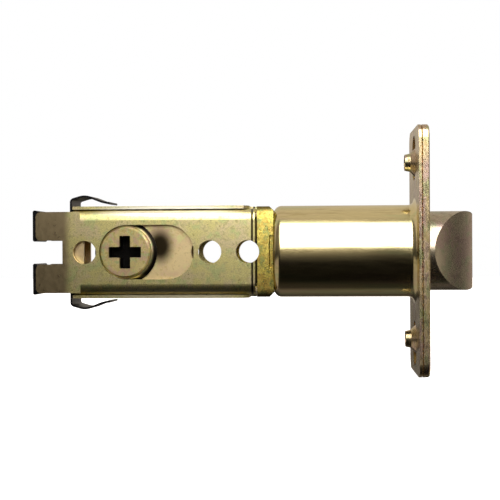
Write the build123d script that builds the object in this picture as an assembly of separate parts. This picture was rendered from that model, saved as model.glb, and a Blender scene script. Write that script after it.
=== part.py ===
"""Tubular spring latch for a door, with a backset that can be set to 60 or 70 mm.

The origin is the centre of the face plate's front face. +X points out of the
door's edge, -Y is the side that the bolt's bevel faces, and +Z is up.
All sizes are in millimetres.
"""

from build123d import *
import math
import os

# Face plate and back plate
plate_height = 57.15
plate_width = 25.4
plate_corner = 3.2
face_thickness = 1.5
back_thickness = 0.9
plate_rim_chamfer = 0.3
screw_inset = 7.925
screw_hole_radius = 1.75
screw_head_radius = 3.8
dimple_wall = 1.2
dimple_reach = 2.2
dimple_lip = 0.4
dimple_rim = 0.15
dimple_clearance = 0.2
back_slot_end_margin = 1.6

# Barrel
barrel_radius = 10.75
barrel_wall = 1.0
barrel_rear_x = -35.3
barrel_flare_margin = 0.35
barrel_shoulder = 1.8

# Bolt
bolt_bore_gap = 0.5
bolt_flat_y = 3.2
bolt_projection = 11.8
bolt_travel = 12.2
bolt_rear_x = -12.0
bevel_start_x = 1.4
bevel_radius = 60.0
bolt_tip_round = 0.4
bolt_corner_round = 1.6
bolt_clearance = 0.25

# Case: two folded sheets, one inside the other
case_depth = 12.0
sheet = 0.7
fold_radius = 2.6
cover_flange_gap = 0.2
base_flange_reach = 11.0
case_rear_x = -83.0
cover_front_x = -39.6
base_flange_front_x = -41.0
flange_corner_cut = 1.2

# Fork at the rear end
fork_base_x = -84.6
fork_end_x = -90.9
prong_step = 0.55
prong_inner_z = 2.8
prong_corner = 1.2

# Fixing holes through the case, from front to rear
front_hole_x = -41.3
middle_hole_x = -50.05
rear_hole_x = -79.4
fixing_hole_radius = 2.7

# Backsets, hub and its slot
long_backset = 69.85
short_backset = 60.325
slot_height = 12.7
slot_rear_clearance = 0.15
slot_front_clearance = 0.65
hub_radius = 5.925
hub_proud = 0.25
hub_edge_round = 0.35
collar_radius = 7.3
collar_thickness = 0.6
collar_slope_height = 0.45
collar_slope_width = 1.1
spindle_span = 7.6
spindle_arm_width = 2.5
sliding_gap = 0.2

# Cam arms on the hub's core
cam_half_thickness = 1.9
cam_tip_distance = 8.2
cam_tip_radius = 0.95
cam_root_radius = 1.6
cam_rest_angle = 38.0
hub_neck_radius = 5.0
hub_neck_clearance = 0.12

# Hub carrier, a strip folded round the hub
carrier_sheet = 0.8
carrier_fold_radius = 0.72
carrier_case_gap = 0.45
carrier_rear_x = -83.6
carrier_front_x = -50.8
carrier_notch_radius = 3.4
carrier_notch_x = -51.2
carrier_wall_half_height = 5.9
carrier_window_front_x = -76.6
carrier_window_length = 3.3
carrier_window_half_height = 3.0

# Drawbar, a strip folded to a stirrup
drawbar_sheet = 0.9
drawbar_bore_gap = 0.136
drawbar_case_gap = 0.25
drawbar_half_width = 3.1
drawbar_fold = 1.4
lug_offset = 4.9
lug_thickness = 1.0
lug_cam_gap = 0.2
lug_half_width = 2.0
window_half_width = 2.2
window_length = 3.4
drawbar_tail = 1.6

# Rivet, washer and spring behind the bolt
rivet_shank_radius = 1.5
rivet_length = 5.0
rivet_head_radius = 2.6
rivet_head_height = 1.1
rivet_head_round = 0.65
washer_radius = 5.9
washer_thickness = 0.8
washer_hole_clearance = 0.2
spring_radius = 4.7
spring_wire = 1.0
spring_turns = 6.0
spring_facets = 8

# Front frame between barrel and case
frame_sheet = 0.8
frame_barrel_step = 0.25
frame_tongue_gap = 0.15
frame_gap = 0.5
frame_tongue_length = 6.5
frame_recess_half_height = 3.8
frame_recess_depth = 1.0
frame_corner_cut = 0.9
passage_clearance = 0.3

# Spring clips on the fork's prongs
clip_thickness = 0.45
clip_width = 10.0
clip_side_gap = 0.15
clip_hem_thickness = 0.95
clip_hem_round = 0.42
clip_hem_inner_z = 2.6
clip_hem_overhang = 0.4
clip_leg_gap = 0.1
clip_leg_start_x = -88.6
clip_foot_rise = 1.6
clip_bow_x = -79.4
clip_bow_rise = 2.6
clip_dip_x = -75.3
clip_dip_rise = 1.0
clip_end_x = -73.6
clip_end_rise = 0.8
clip_foot_bend = 0.4
clip_top_bend = 0.8
clip_bow_bend = 4.0

# How far a cutting solid runs past what it cuts
cut_margin = 1.0

# Derived places
back_rear_x = -(face_thickness + back_thickness)
bore_radius = barrel_radius - barrel_wall
barrel_flare = plate_width / 2 - barrel_flare_margin - barrel_radius
bolt_radius = bore_radius - bolt_bore_gap
drawbar_outer_z = math.sqrt((bore_radius - drawbar_bore_gap) ** 2 - drawbar_half_width**2)
drawbar_inner_z = drawbar_outer_z - drawbar_sheet
near_y = -case_depth / 2
far_y = case_depth / 2
cover_inner_z = drawbar_outer_z + drawbar_case_gap
cover_height = 2 * (cover_inner_z + sheet)
base_height = cover_height + 2 * sheet
base_outer_z = base_height / 2
prong_outer_z = cover_height / 2 - prong_step
carrier_half_height = cover_inner_z - carrier_case_gap
frame_half_height = barrel_radius - frame_barrel_step
clip_hem_outer_z = prong_outer_z + clip_hem_overhang
hub_x = -long_backset
lug_inner_z = cam_tip_distance * math.sin(math.radians(cam_rest_angle)) + cam_tip_radius + lug_cam_gap
cover_flange_reach = case_depth - fold_radius - cover_flange_gap
frame_tongue_half_height = cover_inner_z + sheet - fold_radius - frame_tongue_gap
backset_change = long_backset - short_backset
collar_outer_y = far_y - sheet - sliding_gap
collar_inner_y = collar_outer_y - collar_thickness
carrier_outer_y = collar_inner_y - sliding_gap
carrier_inner_y = carrier_outer_y - carrier_sheet
barrel_wall_x = barrel_rear_x + barrel_wall
washer_front_x = bolt_rear_x - drawbar_sheet
washer_rear_x = washer_front_x - washer_thickness
lug_faces_x = (-long_backset + lug_offset, -short_backset + lug_offset)


def slab(sketch, low_y, high_y):
    """A sheet of the sketch's outline in X and Z, between two Y planes."""
    return extrude(Plane.XZ.offset(-high_y) * sketch, high_y - low_y)


def bar(sketch, low_x, high_x):
    """A prism of the sketch's outline in Y and Z, between two X planes."""
    return extrude(Plane.YZ.offset(low_x) * sketch, high_x - low_x)


def box(low, high):
    """A plain block from its lowest and highest corners."""
    middle = [(a + b) / 2 for a, b in zip(low, high)]
    return Pos(*middle) * Box(*(b - a for a, b in zip(low, high)))


def rectangle(low_x, high_x, low_y, high_y):
    """A flat rectangle from its limits."""
    return Pos((low_x + high_x) / 2, (low_y + high_y) / 2) * Rectangle(high_x - low_x, high_y - low_y)


def cross_y(radius, x, low_y, high_y):
    """A round bar along Y at the given X."""
    return slab(Pos(x, 0) * Circle(radius), low_y, high_y)


def spindle_cross(low_y, high_y):
    """The plus-shaped hole for the spindle, as a solid to cut away."""
    arms = Rectangle(spindle_span, spindle_arm_width) + Rectangle(spindle_arm_width, spindle_span)
    return slab(Pos(hub_x, 0) * arms, low_y, high_y)


def bolt_section(growth=0.0):
    """The bolt's D-shaped section in Y and Z, grown for its openings."""
    radius = bolt_radius + growth
    keep = rectangle(-radius, bolt_flat_y + growth, -radius, radius)
    return Circle(radius) & keep


def screw_places():
    """The Z of the two face screws."""
    upper = plate_height / 2 - screw_inset
    return (upper, -upper)


def dimple_outer_radius():
    """The dimple's outer radius where it leaves the face plate's back."""
    return screw_head_radius - face_thickness + dimple_wall * math.sqrt(2)


def make_face_plate():
    """Face plate with its two screw seats pressed in as dimples."""
    blank = RectangleRounded(plate_width, plate_height, plate_corner)
    plate = bar(blank - bolt_section(bolt_clearance), -face_thickness, 0)
    plate = chamfer(plate.faces().sort_by(Axis.X)[-1].outer_wire().edges(), plate_rim_chamfer)
    top = dimple_outer_radius()
    lip = screw_hole_radius + dimple_lip
    slope_end = -face_thickness - (top - lip)
    tip_x = back_rear_x - dimple_reach
    outline = Polyline(
        (-face_thickness / 2, 0), (-face_thickness / 2, top), (-face_thickness, top),
        (slope_end, lip), (tip_x, screw_hole_radius + dimple_rim), (tip_x, 0), close=True,
    )
    boss = revolve(Plane.XZ * make_face(outline), Axis.X)
    cone_depth = screw_head_radius - screw_hole_radius
    seat = Polyline(
        (0, 0), (0, screw_head_radius), (-cone_depth, screw_hole_radius),
        (tip_x - cut_margin, screw_hole_radius), (tip_x - cut_margin, 0), close=True,
    )
    for z in screw_places():
        plate += Pos(0, 0, z) * boss
    for z in screw_places():
        plate -= Pos(0, 0, z) * revolve(Plane.XZ * make_face(seat), Axis.X)
    return plate


def make_back_plate():
    """Back plate, with a softened front rim and slots that clear the dimples."""
    blank = RectangleRounded(plate_width, plate_height, plate_corner)
    plate = bar(blank - bolt_section(bolt_clearance), back_rear_x, -face_thickness)
    plate = chamfer(plate.faces().sort_by(Axis.X)[-1].outer_wire().edges(), plate_rim_chamfer)
    radius = dimple_outer_radius() + dimple_clearance
    low = screw_places()[0] - radius
    high = plate_height / 2 - back_slot_end_margin
    slot = Rot(0, 0, 90) * SlotOverall(high - low, 2 * radius)
    for middle in ((low + high) / 2, -(low + high) / 2):
        plate -= bar(Pos(0, middle) * slot, back_rear_x - cut_margin, 0)
    return plate


def drawbar_passages(low_x, high_x):
    """Two solids to cut away where the drawbar's arms pass a wall."""
    half = drawbar_half_width + passage_clearance
    low = drawbar_inner_z - passage_clearance
    high = drawbar_outer_z + passage_clearance
    upper = box((low_x, -half, low), (high_x, half, high))
    return [upper, mirror(upper, about=Plane.XY)]


def make_barrel():
    """Drawn cup: flared at the plate, rounded at the rear, slotted for the drawbar."""
    flare_x = back_rear_x - barrel_flare
    shoulder_x = barrel_rear_x + barrel_shoulder
    inner_round = barrel_shoulder - barrel_wall
    inner_x = barrel_wall_x + inner_round
    outline = [
        Line((back_rear_x, bore_radius), (back_rear_x, barrel_radius + barrel_flare)),
        CenterArc((flare_x, barrel_radius + barrel_flare), barrel_flare, 0, -90),
        Line((flare_x, barrel_radius), (shoulder_x, barrel_radius)),
        CenterArc((shoulder_x, barrel_radius - barrel_shoulder), barrel_shoulder, 90, 90),
        Line((barrel_rear_x, barrel_radius - barrel_shoulder), (barrel_rear_x, 0)),
        Line((barrel_rear_x, 0), (barrel_wall_x, 0)),
        Line((barrel_wall_x, 0), (barrel_wall_x, bore_radius - inner_round)),
        CenterArc((inner_x, bore_radius - inner_round), inner_round, 180, -90),
        Line((inner_x, bore_radius), (back_rear_x, bore_radius)),
    ]
    cup = revolve(Plane.XZ * make_face(Curve() + outline), Axis.X)
    for passage in drawbar_passages(barrel_rear_x - cut_margin, barrel_wall_x + cut_margin):
        cup -= passage
    return cup


def bolt_profile():
    """The nose's outline in X and Y, with the bellied bevel up to the flat."""
    start = (bevel_start_x, -bolt_radius)
    tip = (bolt_projection, bolt_flat_y)
    chord = math.dist(start, tip)
    belly = bevel_radius - math.sqrt(bevel_radius**2 - (chord / 2) ** 2)
    rear_near = (back_rear_x, -bolt_radius)
    rear_far = (back_rear_x, bolt_flat_y)
    bevel = SagittaArc(start, tip, -belly)
    edges = [bevel, Line(tip, rear_far), Line(rear_far, rear_near), Line(rear_near, start)]
    outline = make_face(Curve() + edges)
    return fillet(outline.vertices().sort_by(Axis.X)[-1], bolt_tip_round)


def make_bolt_head():
    """Die-cast bolt: round in the barrel, D-shaped outside, with a bellied bevel."""
    body = bar(Circle(bolt_radius), bolt_rear_x, back_rear_x)
    nose = bar(bolt_section(), back_rear_x, bolt_projection)
    nose &= extrude(Plane.XY.offset(-bolt_radius) * bolt_profile(), 2 * bolt_radius)
    corners = rectangle(back_rear_x, bolt_projection, -bolt_radius, bolt_radius)
    corners = fillet(corners.vertices().group_by(Axis.X)[-1], bolt_corner_round)
    nose &= slab(corners, -bolt_radius, bolt_radius)
    head = body + nose
    head -= bar(Circle(rivet_shank_radius), bolt_rear_x, bolt_rear_x + rivet_length)
    return head


def make_drawbar():
    """Strip folded to a stirrup, with four lugs lanced out of its arms."""
    rear_x = lug_faces_x[0] - lug_thickness - drawbar_tail
    outline = rectangle(rear_x, bolt_rear_x, -drawbar_outer_z, drawbar_outer_z)
    outline = fillet(outline.vertices().group_by(Axis.X)[-1], drawbar_fold)
    hollow_front_x = bolt_rear_x - drawbar_sheet
    hollow = rectangle(rear_x - cut_margin, hollow_front_x, -drawbar_inner_z, drawbar_inner_z)
    hollow = fillet(hollow.vertices().group_by(Axis.X)[-1], drawbar_fold - drawbar_sheet)
    strip = slab(outline - hollow, -drawbar_half_width, drawbar_half_width)
    strip -= bar(Circle(rivet_shank_radius), washer_front_x - cut_margin, bolt_rear_x + cut_margin)
    for face_x in lug_faces_x:
        window = box(
            (face_x, -window_half_width, drawbar_inner_z - cut_margin),
            (face_x + window_length, window_half_width, drawbar_outer_z + cut_margin),
        )
        lug = box(
            (face_x - lug_thickness, -lug_half_width, lug_inner_z),
            (face_x, lug_half_width, drawbar_inner_z + drawbar_sheet / 2),
        )
        for side in (window, mirror(window, about=Plane.XY)):
            strip -= side
        for side in (lug, mirror(lug, about=Plane.XY)):
            strip += side
    return strip


def make_rivet():
    """Rivet that holds the drawbar to the bolt."""
    shank = bar(Circle(rivet_shank_radius), washer_front_x, bolt_rear_x + rivet_length)
    head = bar(Circle(rivet_head_radius), washer_front_x - rivet_head_height, washer_front_x)
    head = fillet(head.edges().group_by(Axis.X)[0], rivet_head_round)
    return shank + head


def make_washer():
    """Washer under the spring, round the rivet's head."""
    hole = rivet_head_radius + washer_hole_clearance
    return bar(Circle(washer_radius) - Circle(hole), washer_rear_x, washer_front_x)


def make_bolt_spring():
    """Coil spring between the washer and the barrel's rear wall."""
    length = washer_rear_x - barrel_wall_x - spring_wire
    helix = Helix(pitch=length / spring_turns, height=length, radius=spring_radius)
    start = Plane(origin=helix @ 0, z_dir=helix % 0)
    coil = sweep(start * RegularPolygon(spring_wire / 2, spring_facets), path=helix, is_frenet=True)
    turned = Rot(0, 90, 0) * coil
    return Pos(barrel_wall_x + spring_wire / 2, 0, 0) * turned


def case_channel(height, flange_reach, rear_x, front_x):
    """Folded channel open towards +Y, with its face on the near side."""
    free_y = near_y + flange_reach
    outer = rectangle(near_y, free_y, -height / 2, height / 2)
    outer = fillet(outer.vertices().group_by(Axis.X)[0], fold_radius)
    inner_z = height / 2 - sheet
    inner = rectangle(near_y + sheet, free_y + cut_margin, -inner_z, inner_z)
    inner = fillet(inner.vertices().group_by(Axis.X)[0], fold_radius - sheet)
    return bar(outer - inner, rear_x, front_x)


def fork():
    """The sheet's rear end: a neck and two prongs, flat in the face's plane."""
    neck = rectangle(fork_base_x, case_rear_x + fold_radius, -prong_outer_z, prong_outer_z)
    upper = rectangle(fork_end_x, fork_base_x + cut_margin, prong_inner_z, prong_outer_z)
    upper = fillet(upper.vertices().group_by(Axis.X)[0], prong_corner)
    return neck + upper + mirror(upper, about=Plane.XZ)


def case_cuts():
    """The hub's slot and the three fixing holes, as one outline to cut away."""
    low = hub_x - hub_radius - slot_rear_clearance
    high = -short_backset + hub_radius + slot_front_clearance
    slot = Pos((low + high) / 2, 0) * SlotOverall(high - low, slot_height)
    for x in (front_hole_x, middle_hole_x, rear_hole_x):
        slot += Pos(x, 0) * Circle(fixing_hole_radius)
    return slot


def clip_notches(height):
    """Two blocks to cut from a sheet's flanges where the clips come out."""
    half = clip_width / 2 + clip_side_gap
    front_x = case_rear_x + clip_thickness + clip_side_gap
    low = (case_rear_x - cut_margin, -half, cover_inner_z - cut_margin)
    upper = box(low, (front_x, height, height))
    return [upper, mirror(upper, about=Plane.XY)]


def make_cover():
    """Near sheet of the case, folded inside the other."""
    shell = case_channel(cover_height, cover_flange_reach, case_rear_x, cover_front_x)
    for notch in clip_notches(cover_height):
        shell -= notch
    shell += slab(fork(), near_y, near_y + sheet)
    return shell - slab(case_cuts(), near_y - cut_margin, near_y + sheet + cut_margin)


def make_base():
    """Far sheet of the case, whose flanges lie over the cover's."""
    shell = case_channel(base_height, base_flange_reach, case_rear_x, cover_front_x)
    free_y = near_y + base_flange_reach
    for side in (1, -1):
        low, high = sorted((side * cover_height / 2, side * (base_outer_z + cut_margin)))
        start = (base_flange_front_x, near_y + fold_radius, low)
        shell -= box(start, (cover_front_x + cut_margin, free_y + cut_margin, high))
    corner = Polyline(
        (base_flange_front_x - flange_corner_cut, free_y),
        (base_flange_front_x, free_y),
        (base_flange_front_x, free_y - flange_corner_cut),
        close=True,
    )
    shell -= extrude(Plane.XY.offset(-base_height) * make_face(corner), 2 * base_height)
    for notch in clip_notches(base_height):
        shell -= notch
    shell += slab(fork(), near_y, near_y + sheet)
    shell -= slab(case_cuts(), near_y - cut_margin, near_y + sheet + cut_margin)
    return mirror(shell, about=Plane.XZ)


def make_front_frame():
    """Folded bracket that joins the barrel's rear wall to the case."""
    outer_y = far_y - sheet
    step_x = cover_front_x + frame_gap
    rear_x = cover_front_x - frame_tongue_length
    wall_front_x = barrel_rear_x
    side = rectangle(step_x, wall_front_x, -frame_half_height, frame_half_height)
    corners = side.vertices().group_by(Axis.X)[-1]
    side = chamfer(corners, frame_corner_cut)
    side += rectangle(rear_x, step_x + cut_margin, -frame_tongue_half_height, frame_tongue_half_height)
    side -= Pos(front_hole_x, 0) * Circle(fixing_hole_radius)
    low = wall_front_x - frame_recess_depth
    side -= rectangle(low, wall_front_x + cut_margin, -frame_recess_half_height, frame_recess_half_height)
    near = slab(side, -outer_y, -outer_y + frame_sheet)
    wall_half = frame_half_height - frame_corner_cut
    wall = box(
        (wall_front_x - frame_sheet, -outer_y + frame_sheet, -wall_half),
        (wall_front_x, outer_y - frame_sheet, wall_half),
    )
    frame = near + mirror(near, about=Plane.XZ) + wall
    for passage in drawbar_passages(wall_front_x - frame_sheet - cut_margin, wall_front_x + cut_margin):
        frame -= passage
    return frame


def cam_arm(angle):
    """One tapered cam arm, pointing from the hub's centre at an angle from +X."""
    root = Circle(cam_root_radius)
    tip = Pos(cam_tip_distance, 0) * Circle(cam_tip_radius)
    return Rot(0, 0, angle) * make_hull([*root.edges(), *tip.edges()])


def make_cam_core():
    """The hub's core: a disc with two cam arms in a V, which parts the two spindle holes."""
    outline = Circle(hub_radius) + cam_arm(cam_rest_angle) + cam_arm(-cam_rest_angle)
    return slab(Pos(hub_x, 0) * outline, -cam_half_thickness, cam_half_thickness)


def make_near_bush():
    """Flanged bush: a neck in the carrier, a collar behind the sheet and a boss in the slot."""
    outer_y = far_y + hub_proud
    neck = cross_y(hub_neck_radius, hub_x, -collar_inner_y, -cam_half_thickness)
    collar = cross_y(collar_radius, hub_x, -collar_outer_y, -collar_inner_y)
    rim = collar.edges().filter_by(GeomType.CIRCLE).group_by(Axis.Y)[0]
    collar = chamfer(rim, collar_slope_height, collar_slope_width)
    boss = cross_y(hub_radius, hub_x, -outer_y, -collar_outer_y)
    boss = chamfer(boss.edges().group_by(Axis.Y)[0], hub_edge_round)
    return neck + collar + boss - spindle_cross(-outer_y - cut_margin, 0)


def make_carrier():
    """Strip folded round the hub, which slides in the case to set the backset."""
    plate = rectangle(carrier_rear_x, carrier_front_x, -carrier_half_height, carrier_half_height)
    plate -= Pos(hub_x, 0) * Circle(hub_neck_radius + hub_neck_clearance)
    plate -= Pos(carrier_notch_x, 0) * Circle(carrier_notch_radius)
    plate -= rectangle(
        carrier_notch_x, carrier_front_x + cut_margin, -carrier_notch_radius, carrier_notch_radius
    )
    window_rear_x = carrier_window_front_x - carrier_window_length
    window_half = carrier_window_half_height
    plate -= rectangle(window_rear_x, carrier_window_front_x, -window_half, window_half)
    tab_x = carrier_rear_x + carrier_sheet
    plate -= rectangle(carrier_rear_x - cut_margin, tab_x, -carrier_half_height, carrier_half_height)
    near = slab(plate, -carrier_outer_y, -carrier_inner_y)
    wall = box(
        (carrier_rear_x, -carrier_outer_y, -carrier_wall_half_height),
        (tab_x, carrier_outer_y, carrier_wall_half_height),
    )
    wall = fillet(wall.edges().filter_by(Axis.Z).group_by(Axis.X)[0], carrier_fold_radius)
    return near + mirror(near, about=Plane.XZ) + wall


def make_upper_clip():
    """Spring clip: a hemmed end over the prongs, a leg inside the case and a bow above it."""
    hem_x = fork_end_x - clip_hem_thickness / 2
    strip_x = fork_end_x - clip_hem_thickness + clip_thickness / 2
    leg_z = cover_inner_z - clip_leg_gap - clip_thickness / 2
    top_z = clip_hem_outer_z - clip_thickness / 2
    foot_x = case_rear_x + clip_thickness / 2
    path = FilletPolyline(
        (strip_x, (clip_hem_inner_z + clip_hem_outer_z) / 2),
        (strip_x, top_z),
        (clip_leg_start_x, leg_z),
        (foot_x, leg_z),
        (foot_x, base_outer_z + clip_foot_rise),
        (clip_bow_x, base_outer_z + clip_bow_rise),
        (clip_dip_x, base_outer_z + clip_dip_rise),
        (clip_end_x, base_outer_z + clip_end_rise),
        radius=[clip_foot_bend, clip_top_bend, clip_foot_bend, clip_top_bend, clip_bow_bend, clip_bow_bend],
    )
    ribbon = trace(path, clip_thickness)
    hem_height = clip_hem_outer_z - clip_hem_inner_z
    hem = RectangleRounded(clip_hem_thickness, hem_height, clip_hem_round)
    hem = Pos(hem_x, clip_hem_inner_z + hem_height / 2) * hem
    return slab(ribbon + hem, -clip_width / 2, clip_width / 2)


def main():
    """Builds every piece and writes each one to its own file."""
    near_bush = make_near_bush()
    upper_clip = make_upper_clip()
    pieces = {
        "face_plate": make_face_plate(),
        "back_plate": make_back_plate(),
        "barrel": make_barrel(),
        "bolt_head": make_bolt_head(),
        "drawbar": make_drawbar(),
        "drawbar_rivet": make_rivet(),
        "spring_washer": make_washer(),
        "bolt_spring": make_bolt_spring(),
        "front_frame": make_front_frame(),
        "case_cover": make_cover(),
        "case_base": make_base(),
        "hub_carrier": make_carrier(),
        "cam_core": make_cam_core(),
        "hub_bush_near": near_bush,
        "hub_bush_far": mirror(near_bush, about=Plane.XZ),
        "clip_upper": upper_clip,
        "clip_lower": mirror(upper_clip, about=Plane.XY),
    }
    os.makedirs("parts", exist_ok=True)
    for name, piece in pieces.items():
        export_step(piece, f"parts/{name}.step")


main()
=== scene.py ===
"""Looks of a tubular door latch in yellow zinc plate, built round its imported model.

Everything is in metres in the part's own frame: the origin is the centre of the
face plate's front face, +X points out of the door's edge, the bevel faces -Y
and +Z is up. Each sub-assembly is a class that gives its pieces their finishes,
and the spring bolt's also winds the coil. Sizes that are read as numbers are in
millimetres and have _mm in their names.
"""

import logging
import math
from dataclasses import dataclass
from enum import Enum
from typing import ClassVar

import bpy
from mathutils import Matrix, Vector

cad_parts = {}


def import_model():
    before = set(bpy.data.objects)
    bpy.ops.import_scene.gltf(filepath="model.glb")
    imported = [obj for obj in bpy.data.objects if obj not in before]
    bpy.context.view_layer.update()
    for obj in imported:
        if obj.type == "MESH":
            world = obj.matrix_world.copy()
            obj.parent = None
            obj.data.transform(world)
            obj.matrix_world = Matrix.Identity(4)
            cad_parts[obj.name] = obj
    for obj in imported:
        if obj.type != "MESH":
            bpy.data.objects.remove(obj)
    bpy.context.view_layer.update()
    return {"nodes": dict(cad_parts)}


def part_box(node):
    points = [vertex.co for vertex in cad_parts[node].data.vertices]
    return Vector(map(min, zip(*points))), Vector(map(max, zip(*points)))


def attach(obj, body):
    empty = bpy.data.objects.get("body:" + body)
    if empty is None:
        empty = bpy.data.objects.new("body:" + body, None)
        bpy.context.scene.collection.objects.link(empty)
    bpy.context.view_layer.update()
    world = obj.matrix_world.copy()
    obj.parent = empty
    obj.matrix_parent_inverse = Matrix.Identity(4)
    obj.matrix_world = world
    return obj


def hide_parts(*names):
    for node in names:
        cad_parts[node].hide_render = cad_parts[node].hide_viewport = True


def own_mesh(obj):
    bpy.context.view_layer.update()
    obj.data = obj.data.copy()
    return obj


LOG = logging.getLogger("door_latch")
MM = 0.001
OPEN = 1000.0  # half size, in mm, of a tint that has no edge along an axis

Colour = tuple[float, float, float, float]
Span = tuple[float, float]
Edge = Span
Place = tuple[float, float, float]


def linear(hex_colour: str) -> Colour:
    """Turns an sRGB hex colour into a linear one.

    Args:
        hex_colour: Six hex digits, with or without a leading hash.

    Returns:
        Red, green, blue and an alpha of 1.
    """
    digits = hex_colour.lstrip("#")
    channels = (int(digits[i:i + 2], 16) / 255 for i in (0, 2, 4))
    red, green, blue = (
        c / 12.92 if c <= 0.04045 else ((c + 0.055) / 1.055) ** 2.4 for c in channels
    )
    return red, green, blue, 1.0


def add_node(
    tree: bpy.types.NodeTree, kind: str, values: dict | None = None, **settings
) -> bpy.types.Node:
    """Adds one node, sets its options and sets or links its inputs.

    Args:
        tree: The node tree that gets the node.
        kind: Blender's name for the node type.
        values: Input name or index to a value, or to an output socket to link.
        settings: The node's own options.

    Returns:
        The new node.
    """
    node = tree.nodes.new(kind)
    for name, value in settings.items():
        setattr(node, name, value)
    for key, value in (values or {}).items():
        if isinstance(value, bpy.types.NodeSocket):
            tree.links.new(value, node.inputs[key])
        else:
            node.inputs[key].default_value = value
    return node


def metal(name: str) -> tuple[bpy.types.Material, bpy.types.NodeTree, bpy.types.Node]:
    """Starts a bare metal.

    Args:
        name: The real material's name.

    Returns:
        The material, its node tree and its shader.
    """
    material = bpy.data.materials.new(name)
    material.use_nodes = True
    shader = material.node_tree.nodes["Principled BSDF"]
    shader.inputs["Metallic"].default_value = 1.0
    return material, material.node_tree, shader


class Grain(Enum):
    """How a plated surface was made, which sets the way its pattern runs."""

    SHEET = (1.0, 1.0, 1.0)
    DRAWN = (0.12, 1.0, 1.0)
    SHEARED = (1.0, 1.0, 0.35)


@dataclass(frozen=True)
class Tint:
    """A soft-edged area of another colour, such as a painted shadow, painted shade in a gap or a
    painted highlight along a fold.

    It is whole from the middle out to the share `full` of its half size, and gone
    at the half size.
    """

    centre_mm: Place
    half_mm: Place
    full: float
    colour: str = "#14110d"

    def reach(
        self, tree: bpy.types.NodeTree, point: bpy.types.NodeSocket
    ) -> bpy.types.NodeSocket:
        """How far out of the tint a point lies, as a share of its half size.

        Args:
            tree: The material's node tree.
            point: The point's place in the part's frame.

        Returns:
            A number that is 0 in the middle and 1 at the edge.
        """
        shift = tuple(-v * MM for v in self.centre_mm)
        half = tuple(v * MM for v in self.half_mm)
        moved = add_node(tree, "ShaderNodeVectorMath", {0: point, 1: shift}, operation="ADD")
        shares = add_node(
            tree, "ShaderNodeVectorMath", {0: moved.outputs[0], 1: half}, operation="DIVIDE"
        )
        length = add_node(
            tree, "ShaderNodeVectorMath", {0: shares.outputs[0]}, operation="LENGTH"
        )
        return length.outputs["Value"]


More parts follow.
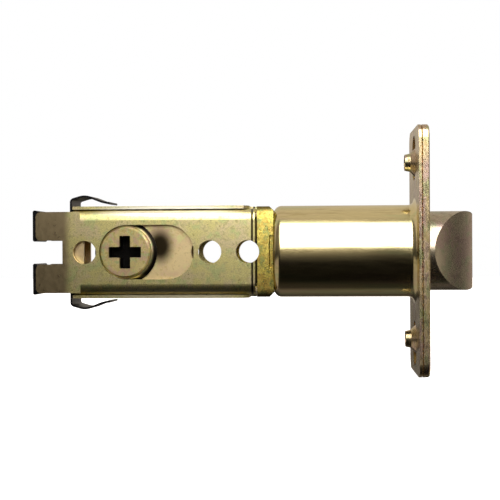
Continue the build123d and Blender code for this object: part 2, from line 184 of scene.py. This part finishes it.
@dataclass(frozen=True)
class PlatedSteel:
    """Steel with yellow chromated zinc plate: mottled straw with pink and green bloom.

    Each pattern has an edge, the two noise levels between which it fades in, and a
    shift in metres that sets it apart from the others.
    """

    name: str
    base: str
    bloom: str
    green: str
    dull: str
    roughness: Span
    grain: Grain = Grain.SHEET
    cloud_mm: float = 5.0
    mottle_mm: float = 0.9
    speck_mm: float = 0.28
    speckle: float = 0.05
    bump_mm: float = 0.012
    crown_mm: float = 0.0
    tints: tuple[Tint, ...] = ()

    BLOOM_EDGE: ClassVar[Edge] = (0.42, 0.62)
    GREEN_EDGE: ClassVar[Edge] = (0.5, 0.66)
    DULL_EDGE: ClassVar[Edge] = (0.52, 0.68)
    NOISE_SPAN: ClassVar[Span] = (0.3, 0.7)
    NOISE_ROUGHNESS: ClassVar[float] = 0.6
    CLOUD_DETAIL: ClassVar[int] = 3
    SPECK_DETAIL: ClassVar[int] = 2
    GREEN_SHARE: ClassVar[float] = 0.6
    MOTTLE_SHIFT: ClassVar[float] = 0.13
    SPECK_SHIFT: ClassVar[float] = 0.37
    GREEN_SHIFT: ClassVar[float] = 0.71

    def build(self) -> bpy.types.Material:
        """Makes the material.

        Returns:
            The node material.
        """
        material, tree, shader = metal(self.name)
        place = add_node(tree, "ShaderNodeTexCoord").outputs["Object"]
        along = add_node(
            tree, "ShaderNodeMapping", {"Vector": place, "Scale": self.grain.value}
        ).outputs["Vector"]

        def noise(size_mm: float, detail: float, shift: float) -> bpy.types.NodeSocket:
            """One noise pattern whose cells are about size_mm across."""
            moved = add_node(
                tree, "ShaderNodeVectorMath", {0: along, 1: (shift,) * 3}, operation="ADD"
            )
            pattern = add_node(
                tree, "ShaderNodeTexNoise",
                {"Vector": moved.outputs[0], "Scale": 1 / (size_mm * MM),
                 "Detail": detail, "Roughness": self.NOISE_ROUGHNESS},
            )
            return pattern.outputs["Fac"]

        def spread(mask: bpy.types.NodeSocket, low: float, high: float) -> bpy.types.NodeSocket:
            """A noise pattern spread over the numbers from low to high."""
            span = add_node(
                tree, "ShaderNodeMapRange",
                {"Value": mask, "From Min": self.NOISE_SPAN[0], "From Max": self.NOISE_SPAN[1],
                 "To Min": low, "To Max": high},
            )
            return span.outputs["Result"]

        def blend(mask: bpy.types.NodeSocket, edge: Edge, a, b) -> bpy.types.NodeSocket:
            """Mixes colour a to b where the mask passes from the edge's first to its last."""
            step = add_node(
                tree, "ShaderNodeMapRange",
                {"Value": mask, "From Min": edge[0], "From Max": edge[1]},
                interpolation_type="SMOOTHSTEP",
            )
            mix = add_node(
                tree, "ShaderNodeMix", {"Factor": step.outputs["Result"], 6: a, 7: b},
                data_type="RGBA",
            )
            return mix.outputs[2]

        clouds = noise(self.cloud_mm, self.CLOUD_DETAIL, 0.0)
        mottle = noise(self.mottle_mm, self.CLOUD_DETAIL, self.MOTTLE_SHIFT)
        specks = noise(self.speck_mm, self.SPECK_DETAIL, self.SPECK_SHIFT)
        drift = noise(self.cloud_mm * self.GREEN_SHARE, self.SPECK_DETAIL, self.GREEN_SHIFT)
        colour = blend(clouds, self.BLOOM_EDGE, linear(self.base), linear(self.bloom))
        colour = blend(drift, self.GREEN_EDGE, colour, linear(self.green))
        colour = blend(mottle, self.DULL_EDGE, colour, linear(self.dull))
        light = spread(specks, 1 - self.speckle, 1 + self.speckle)
        lit = add_node(tree, "ShaderNodeVectorMath", {0: colour, "Scale": light}, operation="SCALE")
        shade = lit.outputs["Vector"]
        for tint in self.tints:
            shade = blend(tint.reach(tree, place), (1.0, tint.full), shade, linear(tint.colour))
        bump = add_node(
            tree, "ShaderNodeBump",
            {"Height": specks, "Distance": self.bump_mm * MM, "Strength": 1.0},
        )
        if self.crown_mm:
            tree.links.new(self.crowned(tree, place), bump.inputs["Normal"])
        tree.links.new(shade, shader.inputs["Base Color"])
        tree.links.new(spread(mottle, *self.roughness), shader.inputs["Roughness"])
        tree.links.new(bump.outputs["Normal"], shader.inputs["Normal"])
        return material

    def crowned(
        self, tree: bpy.types.NodeTree, point: bpy.types.NodeSocket
    ) -> bpy.types.NodeSocket:
        """The normal of a sheet that bows out by a radius of crown_mm over its height.

        Args:
            tree: The material's node tree.
            point: The point's place in the part's frame.

        Returns:
            The tilted normal.
        """
        tilt = (0.0, 0.0, 1 / (self.crown_mm * MM))
        lean = add_node(tree, "ShaderNodeVectorMath", {0: point, 1: tilt}, operation="MULTIPLY")
        face = add_node(tree, "ShaderNodeNewGeometry").outputs["Normal"]
        whole = add_node(
            tree, "ShaderNodeVectorMath", {0: lean.outputs[0], 1: face}, operation="ADD"
        )
        return add_node(
            tree, "ShaderNodeVectorMath", {0: whole.outputs[0]}, operation="NORMALIZE"
        ).outputs["Vector"]


@dataclass(frozen=True)
class SpringSteel:
    """Hardened spring strip: blue-black scale with a dull oiled shine."""

    name: str = "tempered_spring_steel"
    colour: str = "#17181b"
    scale_colour: str = "#2c2b2c"
    patch_mm: float = 1.6
    patch_edge: Edge = (0.4, 0.65)
    patch_detail: int = 4
    roughness: Span = (0.28, 0.5)

    def build(self) -> bpy.types.Material:
        """Makes the material.

        Returns:
            The node material.
        """
        material, tree, shader = metal(self.name)
        place = add_node(tree, "ShaderNodeTexCoord").outputs["Object"]
        patches = add_node(
            tree, "ShaderNodeTexNoise",
            {"Vector": place, "Scale": 1 / (self.patch_mm * MM), "Detail": self.patch_detail},
        ).outputs["Fac"]
        low, high = self.patch_edge
        mask = add_node(
            tree, "ShaderNodeMapRange", {"Value": patches, "From Min": low, "From Max": high}
        )
        mix = add_node(
            tree, "ShaderNodeMix",
            {"Factor": mask.outputs[0], 6: linear(self.colour), 7: linear(self.scale_colour)},
            data_type="RGBA",
        )
        smooth, rough = self.roughness
        dullness = add_node(
            tree, "ShaderNodeMapRange", {"Value": patches, "To Min": smooth, "To Max": rough}
        )
        tree.links.new(mix.outputs[2], shader.inputs["Base Color"])
        tree.links.new(dullness.outputs[0], shader.inputs["Roughness"])
        return material


Finish = PlatedSteel | SpringSteel

CASE_SHEET = PlatedSteel(
    "zinc_plated_sheet", base="#d0c686", bloom="#cfc095", green="#bcbf84", dull="#aea474",
    roughness=(0.27, 0.37), speckle=0.26, bump_mm=0.007, crown_mm=420.0,
    tints=(
        # Painted shade in the gap at the cover's front end, a darker tone over the prongs, a
        # painted highlight along the upper fold and a paler band along the lower fold.
        Tint((-40.2, 0.0, 0.0), (0.34, OPEN, OPEN), full=0.4, colour="#2a2418"),
        Tint((-95.0, 0.0, 0.0), (12.8, OPEN, OPEN), full=0.82, colour="#8c7d60"),
        Tint((-60.0, 0.0, 9.6), (22.4, OPEN, 1.5), full=0.5, colour="#f6f1de"),
        Tint((-60.0, 0.0, -9.6), (22.4, OPEN, 1.5), full=0.5, colour="#d8cfae"),
    ),
)
DRAWN_CUP = PlatedSteel(
    "zinc_plated_drawn_cup", base="#e6d6a2", bloom="#dcc4a4", green="#d2d09c", dull="#d6c692",
    roughness=(0.14, 0.22), grain=Grain.DRAWN, cloud_mm=7.0, bump_mm=0.003,
)
FRAME_SHEET = PlatedSteel(
    "zinc_plated_bright_frame", base="#e4d26c", bloom="#ccb05c", green="#a9aa62", dull="#b4984a",
    roughness=(0.24, 0.36), cloud_mm=2.4, speckle=0.34, crown_mm=180.0,
    tints=(
        # Painted shade in the gap towards the case, and painted shade along the upper end and,
        # darker and wider, the lower end.
        Tint((-39.3, 0.0, 0.0), (0.4, OPEN, OPEN), full=0.4, colour="#2a2418"),
        Tint((-37.0, 0.0, 10.6), (OPEN, OPEN, 1.5), full=0.3, colour="#4a3f20"),
        Tint((-37.0, 0.0, -10.6), (OPEN, OPEN, 2.4), full=0.2, colour="#332c1a"),
    ),
)
PLATE_SHEET = PlatedSteel(
    "zinc_plated_plate", base="#cdb890", bloom="#c2a698", green="#b4b284", dull="#a8966a",
    roughness=(0.2, 0.32), grain=Grain.SHEARED, cloud_mm=3.0, speckle=0.35,
)
BOLT_CASTING = PlatedSteel(
    "zinc_plated_casting", base="#b4a890", bloom="#ae998c", green="#a4a286", dull="#9c9078",
    roughness=(0.24, 0.3), cloud_mm=6.0, mottle_mm=1.4, speckle=0.06, bump_mm=0.002,
)
HUB_PLATE = PlatedSteel(
    "zinc_plated_hub", base="#d6c688", bloom="#ceb090", green="#bcc088", dull="#bcaa6c",
    roughness=(0.28, 0.38), cloud_mm=2.0, speckle=0.12, bump_mm=0.006,
    # Painted shade on every part of the hub less than 5.3 mm from its middle plane: inside the
    # plus-shaped holes and down its side wall.
    tints=(Tint((-69.85, 0.0, 0.0), (OPEN, 5.3, OPEN), full=0.92),),
)
INNER_SHEET = PlatedSteel(
    "zinc_plated_inner_strip", base="#f0d9a4", bloom="#e8cba4", green="#e6dc9e", dull="#dcc48c",
    roughness=(0.3, 0.36), cloud_mm=6.0, bump_mm=0.003,
    tints=(
        # Painted shadow of the hub on the strip in front of it, and the hub's own painted shadow
        # ring.
        Tint((-61.9, 0.0, 1.4), (4.3, OPEN, 5.6), full=0.3, colour="#2e2619"),
        Tint((-69.85, 0.0, -0.6), (7.1, OPEN, 7.1), full=0.86),
    ),
)
BRIGHT_WIRE = PlatedSteel(
    "bright_steel_wire", base="#9c9c9d", bloom="#a3a09c", green="#989a98", dull="#8a8a8b",
    roughness=(0.2, 0.3), bump_mm=0.002,
)
# Near-black core, seen through the hub's plus-shaped holes.
DARK_CORE = PlatedSteel(
    "near_black_core", base="#141312", bloom="#191715", green="#11120f", dull="#0d0c0c",
    roughness=(0.5, 0.6), speckle=0.1, bump_mm=0.003,
)
CLIP_STRIP = SpringSteel()


class FinishShop:
    """Makes each finish's material once."""

    def __init__(self) -> None:
        """Starts with an empty shelf."""
        self.made: dict[str, bpy.types.Material] = {}

    def material(self, finish: Finish) -> bpy.types.Material:
        """Returns the finish's material, new or from the shelf."""
        if finish.name not in self.made:
            self.made[finish.name] = finish.build()
        return self.made[finish.name]


@dataclass
class SubAssembly:
    """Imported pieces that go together, and the finish that each gets."""

    nodes: dict[str, bpy.types.Object]
    shop: FinishShop
    finishes: ClassVar[dict[str, Finish]] = {}

    def build(self) -> None:
        """Gives every piece its finish."""
        for name, finish in self.finishes.items():
            data = self.nodes[name].data
            data.materials.clear()
            data.materials.append(self.shop.material(finish))
            LOG.info("%s has %s", name, finish.name)


class EdgePlates(SubAssembly):
    """Face plate and back plate, at the door's edge."""

    finishes = {"face_plate": PLATE_SHEET, "back_plate": PLATE_SHEET}


class Housing(SubAssembly):
    """Barrel, front frame and the case's two folded sheets."""

    finishes = {
        "barrel": DRAWN_CUP, "front_frame": FRAME_SHEET,
        "case_cover": CASE_SHEET, "case_base": CASE_SHEET,
    }


class HubSet(SubAssembly):
    """Hub that draws the bolt, in the carrier that sets its backset."""

    finishes = {
        "hub_carrier": INNER_SHEET, "cam_core": DARK_CORE,
        "hub_bush_near": HUB_PLATE, "hub_bush_far": HUB_PLATE,
    }


class SpringClips(SubAssembly):
    """Two spring clips that hold the latch in its bore."""

    finishes = {"clip_upper": CLIP_STRIP, "clip_lower": CLIP_STRIP}


@dataclass
class SpringBolt(SubAssembly):
    """Bolt with its drawbar and its wound spring; the real spring shortens as the bolt slides in,
    but the coil is wound here at one length.
    """

    wire_mm: float = 1.0
    turns: float = 6.0
    steps_per_turn: int = 28
    travel_mm: float = 12.2
    wire_facets: int = 3
    node: str = "bolt_spring"
    finishes: ClassVar[dict[str, Finish]] = {
        "bolt_head": BOLT_CASTING, "drawbar": INNER_SHEET,
        "drawbar_rivet": BRIGHT_WIRE, "spring_washer": BRIGHT_WIRE,
    }

    def build(self) -> None:
        """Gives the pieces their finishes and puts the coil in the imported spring's place."""
        super().build()
        low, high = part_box(self.node)
        coil = self.wind(low, high)
        coil.data.materials.clear()
        coil.data.materials.append(self.shop.material(BRIGHT_WIRE))
        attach(coil, "case")
        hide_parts(self.node)
        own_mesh(coil)

    def wind(self, low: Place, high: Place) -> bpy.types.Object:
        """Winds round wire into a coil along X.

        Args:
            low: The lowest corner of the coil's box.
            high: The highest corner of the coil's box.

        Returns:
            The coil, as a smooth mesh.
        """
        wire = self.wire_mm * MM
        rear, front = low[0] + wire / 2, high[0] - wire / 2
        radius = (high[2] - low[2] - wire) / 2
        bpy.ops.object.select_all(action="DESELECT")
        curve = bpy.data.curves.new("bolt_coil", "CURVE")
        curve.dimensions = "3D"
        curve.bevel_depth = wire / 2
        curve.bevel_resolution = self.wire_facets
        curve.use_fill_caps = True
        steps = round(self.turns * self.steps_per_turn)
        line = curve.splines.new("POLY")
        line.points.add(steps)
        for i, point in enumerate(line.points):
            share = i / steps
            angle = 2 * math.pi * self.turns * share
            along = rear + (front - rear) * share
            point.co = (along, radius * math.sin(angle), radius * math.cos(angle), 1.0)
        coil = bpy.data.objects.new("bolt_coil", curve)
        bpy.context.scene.collection.objects.link(coil)
        coil.select_set(True)
        bpy.context.view_layer.objects.active = coil
        bpy.ops.object.convert(target="MESH")
        bpy.ops.object.shade_smooth()
        return bpy.context.object


@dataclass(frozen=True)
class Viewpoint:
    """The camera's place, fitted to the photograph's edges and holes."""

    place_mm: Place = (-25.6, -259.0, 1.0)
    yaw_deg: float = -3.41
    pitch_deg: float = -0.14
    roll_deg: float = -0.29
    lens_mm: float = 78.9
    sensor_mm: float = 36.0
    clip_start: float = 0.01

    def place(self) -> None:
        """Adds the camera and makes it the scene's."""
        angles = (self.yaw_deg, self.pitch_deg, self.roll_deg)
        yaw, pitch, roll = (math.radians(a) for a in angles)
        flat = math.cos(pitch)
        ahead = Vector((math.sin(yaw) * flat, math.cos(yaw) * flat, math.sin(pitch)))
        level = Vector((math.cos(yaw), -math.sin(yaw), 0.0))
        rise = level.cross(ahead)
        right = math.cos(roll) * level + math.sin(roll) * rise
        up = -math.sin(roll) * level + math.cos(roll) * rise
        data = bpy.data.cameras.new("camera")
        data.lens = self.lens_mm
        data.sensor_width = self.sensor_mm
        data.clip_start = self.clip_start
        camera = bpy.data.objects.new("camera", data)
        bpy.context.scene.collection.objects.link(camera)
        turn = Matrix((right, up, -ahead)).transposed().to_4x4()
        camera.matrix_world = Matrix.Translation(Vector(self.place_mm) * MM) @ turn
        bpy.context.scene.camera = camera


@dataclass(frozen=True)
class SoftLight:
    """One soft rectangular light, aimed at a point."""

    name: str
    place_mm: Place
    aim_mm: Place
    size_mm: Span
    watts: float
    colour: str = "#ffffff"

    def hang(self) -> None:
        """Adds the light to the scene."""
        data = bpy.data.lights.new(self.name, "AREA")
        data.shape = "RECTANGLE"
        data.size, data.size_y = (s * MM for s in self.size_mm)
        data.energy = self.watts
        data.color = linear(self.colour)[:3]
        light = bpy.data.objects.new(self.name, data)
        light.location = Vector(self.place_mm) * MM
        aim = Vector(self.aim_mm) * MM - light.location
        light.rotation_euler = aim.to_track_quat("-Z", "Y").to_euler()
        bpy.context.scene.collection.objects.link(light)


KEY = SoftLight(
    "key_softbox", place_mm=(289.0, -345.0, 312.0), aim_mm=(289.0, 0.0, 0.0),
    size_mm=(858.0, 570.0), watts=8.0,
)


@dataclass(frozen=True)
class Glow:
    """A bright field of the surroundings, bounded by edges in a direction's X, Y and Z.

    An edge runs from where the field is gone to where it is whole, so its first
    number is the higher one where the field lies below it.
    """

    strength: float
    edges: tuple[tuple[str, Edge], ...]


@dataclass(frozen=True)
class Studio:
    """White to the eye, with one long softbox and a sky that is bright above and behind.

    The sky fades from sky_low under the horizon to sky over it, and to a share of
    that at the front and at the bolt's end. The front has a field that brightens
    upwards, with a share of it left towards either end. floor_mm is the floor's
    width and height.
    """

    sky: float = 0.62
    sky_low: float = 0.03
    horizon: Edge = (-0.07, 0.09)
    front_edge: Edge = (-0.25, 0.1)
    front_share: float = 0.2
    side_edge: Edge = (0.84, 0.92)
    side_share: float = 0.2
    front_glow: float = 1.15
    front_rise: Edge = (-0.68, 0.3)
    front_power: float = 3.0
    left_edge: Edge = (-0.31, -0.03)
    left_share: float = 0.16
    right_edge: Edge = (0.0, 0.1)
    right_share: float = 0.12
    floor_glow: Glow = Glow(0.15, (("Z", (-0.35, -0.95)), ("Y", (0.15, 0.5))))
    glows: tuple[Glow, ...] = (
        # For the case's back, for the face plate, below both flanks, for the bevel's tip.
        Glow(0.5, (("Y", (0.9, 0.96)), ("X", (-0.16, -0.05)))),
        Glow(0.65, (("X", (0.88, 0.95)), ("Y", (0.18, 0.05)))),
        Glow(0.38, (("X", (0.35, 0.5)), ("Z", (-0.15, -0.3)))),
        Glow(0.38, (("X", (-0.4, -0.55)), ("Z", (-0.15, -0.3)))),
        Glow(0.9, (("X", (0.6, 0.72)), ("X", (0.89, 0.84)), ("Y", (0.1, 0.3)))),
    )
    floor_mm: Span = (1600.0, -29.0)
    sky_colour: str = "#fff3e2"
    white: str = "#ffffff"

    def surroundings(self) -> None:
        """Lets the camera see white, and the metal a bright rear sky over a dark front."""
        world = bpy.data.worlds.new("studio")
        bpy.context.scene.world = world
        world.use_nodes = True
        tree = world.node_tree
        tree.nodes.clear()
        place = add_node(tree, "ShaderNodeTexCoord")
        parts = add_node(tree, "ShaderNodeSeparateXYZ", {"Vector": place.outputs["Generated"]})

        def ramp(name: str, edge: Edge, start: float, end: float) -> bpy.types.NodeSocket:
            """A smooth step from start to end as one direction passes an edge."""
            if edge[0] > edge[1]:
                edge, start, end = edge[::-1], end, start
            step = add_node(
                tree, "ShaderNodeMapRange",
                {"Value": parts.outputs[name], "From Min": edge[0], "From Max": edge[1],
                 "To Min": start, "To Max": end},
                interpolation_type="SMOOTHSTEP",
            )
            return step.outputs[0]

        def both(operation: str, a, b) -> bpy.types.NodeSocket:
            """Joins two values by one operation."""
            return add_node(tree, "ShaderNodeMath", {0: a, 1: b}, operation=operation).outputs[0]

        def field(glow: Glow) -> bpy.types.NodeSocket:
            """The glow's strength within its edges."""
            (first, edge), *others = glow.edges
            value = ramp(first, edge, 0.0, glow.strength)
            for name, edge in others:
                value = both("MULTIPLY", value, ramp(name, edge, 0.0, 1.0))
            return value

        sky = ramp("Z", self.horizon, self.sky_low, self.sky)
        sky = both("MAXIMUM", sky, field(self.floor_glow))
        sky = both("MULTIPLY", sky, ramp("Y", self.front_edge, self.front_share, 1.0))
        sky = both("MULTIPLY", sky, ramp("X", self.side_edge, 1.0, self.side_share))
        low, high = self.front_rise
        rise = add_node(
            tree, "ShaderNodeMapRange",
            {"Value": parts.outputs["Z"], "From Min": low, "From Max": high},
        )
        front = both("POWER", rise.outputs[0], self.front_power)
        front = both("MULTIPLY", front, self.front_glow)
        front = both("MULTIPLY", front, ramp("Y", self.front_edge, 1.0, 0.0))
        front = both("MULTIPLY", front, ramp("X", self.left_edge, self.left_share, 1.0))
        front = both("MULTIPLY", front, ramp("X", self.right_edge, 1.0, self.right_share))
        sky = both("MAXIMUM", sky, front)
        for glow in self.glows:
            sky = both("MAXIMUM", sky, field(glow))
        seen = add_node(tree, "ShaderNodeLightPath").outputs["Is Camera Ray"]
        strength = add_node(
            tree, "ShaderNodeMix", {"Factor": seen, 2: sky, 3: 1.0}, data_type="FLOAT"
        )
        colour = add_node(
            tree, "ShaderNodeMix",
            {"Factor": seen, 6: linear(self.sky_colour), 7: linear(self.white)},
            data_type="RGBA",
        )
        light = add_node(
            tree, "ShaderNodeBackground",
            {"Color": colour.outputs[2], "Strength": strength.outputs[0]},
        )
        add_node(tree, "ShaderNodeOutputWorld", {"Surface": light.outputs[0]})

    def floor(self) -> None:
        """Lays a plain white floor that the camera sees and the plated metal doesn't mirror."""
        size, height = (v * MM for v in self.floor_mm)
        bpy.ops.object.select_all(action="DESELECT")
        bpy.ops.mesh.primitive_plane_add(size=size, location=(0.0, 0.0, height))
        sheet = bpy.context.object
        sheet.name = "floor"
        bpy.ops.object.transform_apply(location=True, rotation=True, scale=True)
        paper = bpy.data.materials.new("white_paper_floor")
        paper.use_nodes = True
        shader = paper.node_tree.nodes["Principled BSDF"]
        shader.inputs["Base Color"].default_value = linear(self.white)
        shader.inputs["Emission Color"].default_value = linear(self.white)
        shader.inputs["Emission Strength"].default_value = 1.0
        sheet.data.materials.append(paper)
        sheet.visible_diffuse = False
        sheet.visible_glossy = False

    def build(self) -> None:
        """Adds the surroundings, the floor and the light."""
        self.surroundings()
        self.floor()
        KEY.hang()
        bpy.context.scene.view_settings.view_transform = "Standard"


def main() -> None:
    """Loads the frame, finishes the latch and sets the studio round it."""
    logging.basicConfig(level=logging.INFO, format="%(name)s: %(message)s")
    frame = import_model()
    shop = FinishShop()
    for kind in (EdgePlates, Housing, HubSet, SpringClips, SpringBolt):
        kind(frame["nodes"], shop).build()
    Studio().build()
    Viewpoint().place()


if __name__ == "__main__":
    main()
